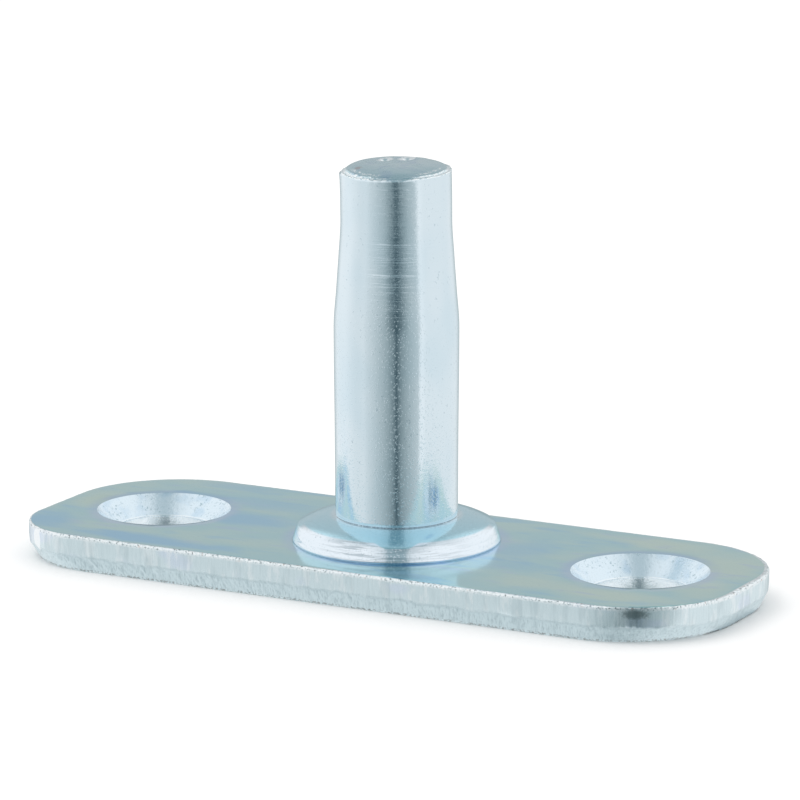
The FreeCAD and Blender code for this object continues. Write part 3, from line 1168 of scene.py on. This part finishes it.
@dataclass
class HingePin:
    """The turned pin: cropped end, lead, taper, shaft, collar, tenon and rivet head.

    The collar is the node's, seen closely: a dome that falls from the shaft's foot, a rim
    whose widest part is low, and a foot that turns in to the plate. Sides of the pin are
    angles in degrees. Each groove has its height and depth, and each nick its X and Y.
    """

    floor: float = PLATE_THICKNESS
    top: float = 34.0
    radius: float = 5.0
    lead_radius: float = 4.5
    lead_length: float = 5.0
    taper_length: float = 7.0
    blend_radius: float = 20.0
    root_height: float = ROOT_HEIGHT
    root_groove: float = 0.015
    dome_radius: float = 6.3
    dome_turn: float = 28.5
    collar_radius: float = COLLAR_RADIUS
    widest_height: float = 3.15
    rim_turn: float = 74.0
    under_radius: float = 0.12
    under_turn: float = 25.0
    tenon_gap: float = 0.02
    seat_gap: float = 0.004
    peak: float = 0.08
    end_drop: float = 0.74
    edge_falls: tuple = (0.02, 0.06, 0.11, 0.17, 0.24)
    high_side: float = 115.0
    seen_side: float = 298.0
    burr_radius: float = 4.42
    burr_height: float = 0.10
    burr_width: float = 0.065
    lap_radius: float = 4.06
    lap_height: float = 0.075
    lap_width: float = 0.07
    lap_sides: tuple = (246.0, 350.0)
    rim_lift: float = 0.08
    rim_tilt: float = 0.12
    nicks: tuple = ((-1.8, 1.4), (-0.4, 2.55))
    nick_size: tuple = (0.42, 0.50)
    nick_depth: float = 0.28
    swell_height: float = 20.6
    swell_depth: float = 0.085
    swell_below: float = 7.5
    swell_above: float = 1.6
    grooves: tuple = (
        (28.4, 0.014), (25.9, 0.020), (27.3, 0.008), (30.9, 0.010), (24.6, 0.008),
        (32.75, 0.018), (32.4, 0.014), (32.05, 0.018), (31.5, 0.012), (29.8, 0.012),
    )
    groove_width: float = 0.06
    groove_side: float = 294.0
    jagged: Texture = Texture(((43, 0.45, 1.0, 0.5), (44, 0.17, 1.0, 0.3)))
    lap_waver: Texture = Texture(((45, 1.6, 9.0, 0.10),))
    end_dents: Texture = Texture(((48, 0.9, 0.5, 0.012),))
    tool_marks: Texture = Texture(((41, 14.0, 0.16, 0.0025), (42, 9.0, 0.45, 0.003)))
    flare: Texture = Texture(((50, 0.22, 1.0, 1.0),))
    collar_marks: Texture = Texture(((49, 18.0, 0.16, 0.010), (46, 4.0, 0.5, 0.008)))
    hammering: Texture = Texture(((47, 2.6, 0.9, 0.05),))
    segments: int = 256
    turned: TurnedZinc = TurnedZinc()
    cropped: PressedZinc = PressedZinc(
        "cropped_zinc", pale=(0.47, 0.64, 0.70), blue=(0.42, 0.57, 0.68), speck=(0.30, 0.42, 0.48),
        roughness=0.22, dent_depth=0.007, speck_share=0.45, rim_radius=4.02,
        marks=((-1.8, 1.4, 0.62), (-0.4, 2.55, 0.7)),
        stain=Spot((-2.26, -2.31, 33.9), (1.0, 1.0, 1.0), 0.42, 0.16, 0.8, 0.75),
    )
    peened: PressedZinc = PressedZinc("peened_zinc", dent_depth=0.03)

    def measure(self) -> None:
        """Takes the pin's height and the collar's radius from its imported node."""
        low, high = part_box("hinge_pin")
        self.top = high.z / MM
        self.collar_radius = (high.x - low.x) / 2 / MM

    @property
    def edge(self) -> float:
        """The height of the end's edge, where the turned wall starts."""
        return self.top + self.peak - self.end_drop

    @staticmethod
    def blended(before: tuple, corner: tuple, after: tuple, radius: float, steps: int) -> list[tuple]:
        """Points of the arc that rounds a corner of the section.

        Args:
            before: The section's point before the corner.
            corner: The corner.
            after: The section's point after the corner.
            radius: The arc's radius.
            steps: How many pieces the arc has.

        Returns:
            The arc's points, from the first line to the second.
        """
        first = (Vector(corner) - Vector(before)).normalized()
        second = (Vector(after) - Vector(corner)).normalized()
        turn = math.atan2(first.cross(second), first.dot(second))
        start = Vector(corner) - first * (radius * math.tan(abs(turn) / 2))
        centre = start + Vector((-first.y, first.x)) * math.copysign(radius, turn)
        arm = start - centre
        turns = turn * np.linspace(0.0, 1.0, steps + 1)
        across = centre.x + arm.x * np.cos(turns) - arm.y * np.sin(turns)
        return list(zip(across, centre.y + arm.x * np.sin(turns) + arm.y * np.cos(turns)))

    @staticmethod
    def line(start: tuple, end: tuple, gap: float) -> list[tuple]:
        """Points between two points of the section, without its ends.

        Args:
            start: Where the line starts.
            end: Where it ends.
            gap: How far apart the points are at most.

        Returns:
            The points between.
        """
        steps = max(1, math.ceil(math.dist(start, end) / gap))
        shares = np.arange(1, steps) / steps
        return [tuple(np.array(start) + (np.array(end) - np.array(start)) * share) for share in shares]

    def end_section(self) -> list[tuple]:
        """The end face as radius and height, from its middle out; its fall is added later."""
        radii = (*np.linspace(0.2, 3.8, 22), *np.linspace(3.86, self.lead_radius - 0.02, 17))
        return [(radius, self.top + self.peak) for radius in radii]

    def turned_section(self) -> list[tuple]:
        """The turned surface as radius and height, from the burr down to the collar's foot.

        Returns:
            The points, each a radius and a height.
        """
        taper_end = self.top - self.lead_length
        edge = (self.lead_radius, self.edge)
        neck, shoulder = (self.lead_radius, taper_end), (self.radius, taper_end - self.taper_length)
        root = (self.radius, self.root_height + 0.10)
        neck_arc = self.blended(edge, neck, shoulder, self.blend_radius, 12)
        shoulder_arc = self.blended(neck, shoulder, root, self.blend_radius, 12)
        joined = [(edge[0], edge[1] - fall) for fall in self.edge_falls]
        for arc, gap in [(neck_arc, 0.07), (shoulder_arc, 0.09), ([root], 0.25)]:
            joined += self.line(joined[-1], arc[0], gap) + arc
        groove = self.radius - self.root_groove
        joined += [(groove, self.root_height + 0.05), (groove, self.root_height + 0.01)]
        return joined + self.collar_section()

    def collar_section(self) -> list[tuple]:
        """The collar as radius and height: its dome, its rim and its foot.

        Returns:
            The points, each a radius and a height.
        """
        turn, steep = math.radians(self.dome_turn), math.radians(self.rim_turn)
        sweep = np.linspace(0.012, turn, 18)
        fall = self.dome_radius * (1 - np.cos(sweep))
        dome = list(zip(self.radius + self.dome_radius * np.sin(sweep), self.root_height - fall))
        first, last = np.array(dome[-1]), np.array([self.collar_radius, self.widest_height])
        ways = np.array([[math.cos(turn), math.cos(steep)], [-math.sin(turn), -math.sin(steep)]])
        corner = first + np.linalg.solve(ways, last - first)[0] * ways[:, 0]
        rim = [
            tuple(first * (1 - s) ** 2 + corner * 2 * s * (1 - s) + last * s ** 2)
            for s in np.linspace(0.0, 1.0, 21)[1:]
        ]
        curl = np.radians(np.linspace(0.0, self.under_turn, 5))[1:]
        inset, fall = self.under_radius * (1 - np.cos(curl)), self.under_radius * np.sin(curl)
        under = list(zip(self.collar_radius - inset, self.widest_height - fall))
        foot = under[-1][0] - 0.02
        return dome + rim + under + [(foot, under[-1][1] - 0.05), (foot, self.floor - self.seat_gap)]

    def rivet_section(self) -> list[tuple]:
        """The hidden tenon and the rivet head, from the collar's underside to the middle.

        Returns:
            The points, each a radius and a height.
        """
        tenon = TENON_RADIUS - self.tenon_gap
        section = [(tenon, self.floor - self.seat_gap), (tenon, RIVET_RADIUS - TENON_RADIUS)]
        section += [(RIVET_RADIUS - 0.05, 0.03), (RIVET_RADIUS - 0.16, 0.006)]
        return section + [(radius, 0.03) for radius in np.linspace(RIVET_RADIUS - 0.5, 0.4, 9)]

    @staticmethod
    def beside(turn: np.ndarray, middle: float, reach: float) -> np.ndarray:
        """A soft share from 1 at one side of the pin to 0 away from it.

        Args:
            turn: Angles in radians.
            middle: The side's angle, in degrees.
            reach: How far round it goes, in degrees.

        Returns:
            The share at each angle.
        """
        off = (np.degrees(turn) - middle + 180.0) % 360.0 - 180.0
        return np.exp(-((off / reach) ** 4))

    @staticmethod
    def ridge(place: np.ndarray, middle: float | np.ndarray, width: float) -> np.ndarray:
        """A bell shape, 1 at its middle and narrow by its width."""
        return np.exp(-(((place - middle) / width) ** 2))

    def rightwards(self, turn: np.ndarray) -> np.ndarray:
        """From 1 at the right side of the pin as it is seen to minus 1 at the left."""
        return np.cos(turn - math.radians(self.seen_side + 90.0))

    def raised(self, turn: np.ndarray) -> np.ndarray:
        """How far the burr stands above its plain height: it is highest at the right."""
        return self.rim_lift + self.rim_tilt * self.rightwards(turn)

    def crop(self, radius: np.ndarray, height: np.ndarray, turn: np.ndarray) -> np.ndarray:
        """Heights of the cropped end: domed, highest at the back, nicked and ringed by a burr.

        Args:
            radius: The radius of each point of the end.
            height: The height of each point before it falls.
            turn: The angle of each point, in radians.

        Returns:
            The new heights.
        """
        arc, length = turn * self.radius, math.tau * self.radius
        away = (1 + np.cos(turn - math.radians(self.high_side))) / 2
        drop = self.end_drop - self.raised(turn)
        height = height - drop * (radius / self.lead_radius) ** (3 + 9 * away ** 1.5)
        jagged = 0.75 + self.jagged.over(arc, radius, length)
        height = height + self.burr_height * jagged * self.ridge(radius, self.burr_radius, self.burr_width)
        sides = sum(self.beside(turn, side, 38.0) for side in self.lap_sides)
        lap = self.lap_radius + self.lap_waver.over(arc, radius, length)
        height = height + self.lap_height * sides * jagged * self.ridge(radius, lap, self.lap_width)
        for x, y in self.nicks:
            off_x, off_y = radius * np.cos(turn) - x, radius * np.sin(turn) - y
            near = np.hypot(off_x / self.nick_size[0], off_y / self.nick_size[1])
            height = height - self.nick_depth * self.ridge(near, 0.0, 1.0)
        return height + self.end_dents.over(arc, radius, length) * (radius > 0.8)

    def wear(self, radius: np.ndarray, height: np.ndarray, turn: np.ndarray) -> np.ndarray:
        """Radii of the turned surface with its swelling, tool marks, scratches and dents.

        Args:
            radius: The radius of each point.
            height: The height of each point.
            turn: The angle of each point, in radians.

        Returns:
            The new radii.
        """
        arc, length = turn * self.radius, math.tau * self.radius
        on_wall = np.clip((height - self.root_height - 0.2) / 0.3, 0.0, 1.0)
        fade = np.clip((self.edge - height - 0.1) / 0.3, 0.0, 1.0)
        above = np.clip((height - 21.0) / 3.0, 0.0, 1.0)
        reach = np.where(height < self.swell_height, self.swell_below, self.swell_above)
        leaning = (0.02 - 0.08 * self.rightwards(turn)) * np.exp(-((self.edge - height) / 1.6))
        swell = self.swell_depth * self.ridge(height, self.swell_height, reach) + leaning
        marks = self.tool_marks.over(arc, height, length) * (0.25 + 0.75 * above)
        front = self.beside(turn, self.groove_side, 26.0)
        scratch = sum(
            depth * front * self.ridge(height, place, self.groove_width) for place, depth in self.grooves
        )
        flare = np.exp(-np.abs(self.edge - height) / 0.09) * (0.01 + 0.025 * self.flare.along(arc, length))
        radius = radius + on_wall * (swell + fade * (marks - scratch) + flare)
        on_collar = (height < self.root_height - 0.25) & (height > self.floor + 0.3)
        return radius + np.minimum(on_collar * self.collar_marks.over(arc, height, length), 0.0)

    def build(self) -> bpy.types.Object:
        """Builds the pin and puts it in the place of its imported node.

        Returns:
            The object.
        """
        self.measure()
        end, wall, rivet = self.end_section(), self.turned_section(), self.rivet_section()
        section = np.array(end + wall + rivet)
        shape = (len(section), self.segments)
        turn = np.broadcast_to(np.arange(self.segments) * math.tau / self.segments, shape)
        radius = np.array(np.broadcast_to(section[:, :1], shape))
        height = np.array(np.broadcast_to(section[:, 1:], shape))
        last = len(end) + len(wall)
        on_end, on_wall, on_head = slice(len(end)), slice(len(end), last), slice(last + 4, None)
        height[on_end] = self.crop(radius[on_end], height[on_end], turn[on_end])
        radius[on_wall] = self.wear(radius[on_wall], height[on_wall], turn[on_wall])
        near_end = np.clip((height[on_wall] - self.top + 3.0) / 2.3, 0.0, 1.0)
        height[on_wall] += near_end * self.raised(turn[on_wall])
        dents = self.hammering.over(turn[on_head] * self.radius, radius[on_head], math.tau * self.radius)
        height[on_head] += np.abs(dents)
        maker = MeshMaker()
        numbers = maker.add_points(np.dstack([radius * np.cos(turn), radius * np.sin(turn), height]))
        maker.add_rings(numbers[:len(end)], Finish.CROPPED_END)
        maker.add_rings(numbers[len(end) - 1:last], Finish.TURNED_WALL)
        maker.add_rings(numbers[last - 1:], Finish.PEENED_RIVET)
        maker.add_fan(numbers[0], height[0].mean(), Finish.CROPPED_END)
        maker.add_fan(numbers[-1][::-1], height[-1].mean(), Finish.PEENED_RIVET)
        made = maker.make("pin", {
            Finish.CROPPED_END: self.cropped,
            Finish.TURNED_WALL: self.turned,
            Finish.PEENED_RIVET: self.peened,
        })
        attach(made, "root")
        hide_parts("hinge_pin")
        return made


@dataclass(frozen=True)
class Camera:
    """The camera at the photograph's viewing angle; lengths are in millimetres."""

    azimuth: float = 28.001
    elevation: float = 12.766
    roll: float = -0.037
    distance: float = 432.27
    lens: float = 238.02
    sensor: float = 36.0
    target_across: float = 0.2796
    target_height: float = 14.2541

    def add(self) -> None:
        """Adds the camera and makes it the scene's."""
        azimuth, elevation, roll = (math.radians(a) for a in (self.azimuth, self.elevation, self.roll))
        back = Vector((
            math.sin(azimuth) * math.cos(elevation),
            -math.cos(azimuth) * math.cos(elevation),
            math.sin(elevation),
        ))
        level = Vector((math.cos(azimuth), math.sin(azimuth), 0.0))
        steep = back.cross(level)
        right = level * math.cos(roll) + steep * math.sin(roll)
        up = steep * math.cos(roll) - level * math.sin(roll)
        eye = level * self.target_across + steep * self.target_height + back * self.distance
        data = bpy.data.cameras.new("camera")
        data.lens, data.sensor_width = self.lens, self.sensor
        data.clip_start, data.clip_end = 0.01, 10.0
        made = linked("camera", data)
        turned = Matrix((right, up, back)).transposed().to_4x4()
        made.matrix_world = Matrix.Translation(eye * MM) @ turned
        bpy.context.scene.camera = made


@dataclass(frozen=True)
class Studio:
    """A white tent over a white floor, with a grey card behind and a dark gap at the lens.

    The levels are what polished metal sees in each direction, where white is 1; angles are
    in degrees, round from the lens and up from the horizon.
    """

    camera: Camera = Camera()
    lens_level: float = 0.02
    flag_level: float = 0.85
    flag_reach: float = 60.0
    flag_power: float = 0.56
    right_flag_end: float = 42.5
    core_depth: float = 0.5
    rear_level: float = 0.72
    gap_half_width: float = 0.20
    gap_tint: tuple = (0.32, 0.42, 0.45)
    card_level: float = 0.62
    card_half_width: float = 19.0
    card_top: float = 52.0
    white: tuple = (1.0, 1.0, 1.0)
    cool_black: tuple = (0.0, 0.035, 0.055)
    cool_grey: tuple = (0.0, 0.45, 0.48)
    paper_colour: tuple = (0.97, 0.97, 0.97)
    floor_radius: float = 3.0
    floor_depth: float = 0.02
    paper_radius: float = 9.5
    paper_depth: float = 0.01
    slot_half_width: float = 0.75
    lamp_size: float = 0.6
    lamp_watts: float = 1.6
    lamp_place: tuple = (-0.35, -0.25, 0.9)

    def add(self) -> None:
        """Adds the world, the floor, the lamp and the camera."""
        self.light_world()
        self.lay_floor()
        self.hang_lamp()
        self.camera.add()
        bpy.context.scene.view_settings.view_transform = "Standard"

    def flag(self, angle: Signal, rise: Signal) -> Signal:
        """The level of the tent's lower wall: dark at the lens, white at the sides.

        Args:
            angle: The angle round from the lens, rightwards.
            rise: The angle up from the horizon.

        Returns:
            The level, from 0 to 1.
        """
        spread, end = abs(angle), self.right_flag_end
        reach = angle.graph.work_out("MINIMUM", spread / self.flag_reach, 1.0)
        flag = reach ** self.flag_power * (self.flag_level - self.lens_level) + self.lens_level
        flag = flag + (1 - flag) * angle.step(end - 1.5, end + 1.5)
        flag = flag * (1 - 0.05 * angle.step(50.0, 57.0)) * (1 + 0.05 * angle.step(-59.0, -63.0))
        flag = flag + (1 - flag) * angle.step(-75.0, -115.0)
        flag = flag * (1 - self.core_depth * spread.step(26.0, 4.0) * rise.step(-10.5, -5.0))
        rear = (1 - self.rear_level) * spread.step(140.0, 162.0) + 0.25 * spread.step(160.0, 172.0)
        flag = flag * (1 - rear * rise.step(-26.0, -16.0))
        return flag + (1 - flag) * rise.step(-24.0, -48.0) * 0.45

    def light_world(self) -> None:
        """Lights the world: plain white, and for reflections the tent with its cards."""
        world = bpy.data.worlds.new("studio")
        bpy.context.scene.world = world
        world.cycles.sampling_method = "NONE"
        graph = Graph(world)
        direction = graph.node("ShaderNodeTexCoord")["Generated"]
        across, towards = direction.facing(math.radians(self.camera.azimuth))
        angle = graph.work_out("ARCTAN2", across, towards) * math.degrees(1.0)
        rise = graph.work_out("ARCSINE", direction.parts()["Z"]) * math.degrees(1.0)
        low, flag = rise.step(9.0, 1.0), self.flag(angle, rise)
        card = self.card_half_width
        behind = abs(angle).step(177.0 - card, 183.0 - card) * rise.step(-4.0, 2.0)
        behind = behind * rise.step(self.card_top + 6.0, self.card_top - 6.0)
        tent = 1 - (1 - flag) * low
        tent = tent * (1 - behind) + graph.work_out("MINIMUM", tent, self.card_level) * behind
        ahead = towards.step(-0.1, 0.1) * (1 - low)
        overhead = graph.work_out("MAXIMUM", ahead, rise.step(38.0, 52.0))
        gap = abs(across).step(self.gap_half_width + 0.06, self.gap_half_width - 0.06) * 0.55
        gap = gap + abs(across).step(0.60, 0.08) * 0.45
        gap = gap * overhead * (1 - ahead * rise.step(62.0, 72.0) * 0.35)
        mirrored = graph.node("ShaderNodeLightPath")["Is Glossy Ray"]
        colour = graph.layered(
            self.cool_black,
            (1 - mirrored * (1 - tent), self.white),
            (mirrored * low * flag * (1 - flag) * 0.4, self.cool_grey),
            (mirrored * gap, self.gap_tint),
        )
        shader = graph.node("ShaderNodeBackground", None, {"Color": colour, "Strength": 1.0})
        graph.node("ShaderNodeOutputWorld", None, {"Surface": shader["Background"]})

    def lay_floor(self) -> None:
        """Lays the white floor under the plate, and the paper that shows in the screw holes."""
        paper = bpy.data.materials.new("white_paper")
        graph = Graph(paper)
        feeds = {"Base Color": self.paper_colour, "Roughness": 0.9, "Specular IOR Level": 0.0}
        shader = graph.node("ShaderNodeBsdfPrincipled", None, feeds)["BSDF"]
        graph.node("ShaderNodeOutputMaterial", None, {"Surface": shader})
        round_floor = self.disc(np.arange(96) * math.tau / 96, self.floor_radius)
        floor = self.lay("floor", [round_floor - [0.0, 0.0, self.floor_depth * MM]], paper)
        floor.visible_glossy = False
        papers = []
        cut = math.acos(self.slot_half_width / self.paper_radius)
        for middle in (-HOLE_SPACING / 2, HOLE_SPACING / 2):
            for side in (0.0, math.pi):
                turn = math.radians(self.camera.azimuth) + side + np.linspace(-cut, cut, 40)
                half = self.disc(turn, self.paper_radius)
                papers.append((half + [middle, 0.0, -self.paper_depth]) * MM)
        self.lay("paper_under_holes", papers, paper)

    @staticmethod
    def disc(turn: np.ndarray, radius: float) -> np.ndarray:
        """Points at the given angles and radius round the Z axis."""
        return np.stack([np.cos(turn), np.sin(turn), 0 * turn], axis=1) * radius

    @staticmethod
    def lay(name: str, sheets: list[np.ndarray], material: bpy.types.Material) -> bpy.types.Object:
        """Lays flat sheets of one material.

        Args:
            name: The name of the object that holds them.
            sheets: The corners of each sheet, in metres.
            material: Their material.

        Returns:
            The object, a sheet of the studio.
        """
        ends = np.cumsum([len(sheet) for sheet in sheets]).tolist()
        faces = [list(range(end - len(sheet), end)) for sheet, end in zip(sheets, ends)]
        mesh = bpy.data.meshes.new(name)
        mesh.from_pydata(np.concatenate(sheets).tolist(), [], faces)
        mesh.materials.append(material)
        laid = linked(name, mesh)
        return laid

    def hang_lamp(self) -> None:
        """Hangs a soft lamp above, which gives the floor its shadow."""
        lamp = bpy.data.lights.new("overhead_softbox", "AREA")
        lamp.shape = "SQUARE"
        lamp.size, lamp.energy = self.lamp_size, self.lamp_watts
        hung = linked("overhead_softbox", lamp)
        hung.location = self.lamp_place
        hung.rotation_euler = Vector(hung.location).to_track_quat("Z", "Y").to_euler()
        hung.visible_glossy = False


def report(piece: bpy.types.Object) -> None:
    """Logs a piece's name and how many faces it has."""
    log.info("%s: %d faces", piece.name, len(piece.data.polygons))


def main() -> None:
    """Builds the part and its studio, and keeps the sizes of both models."""
    logging.basicConfig(level=logging.INFO, format="%(message)s")
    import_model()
    report(BasePlate().build())
    report(HingePin().build())
    Studio().add()


if __name__ == "__main__":
    main()
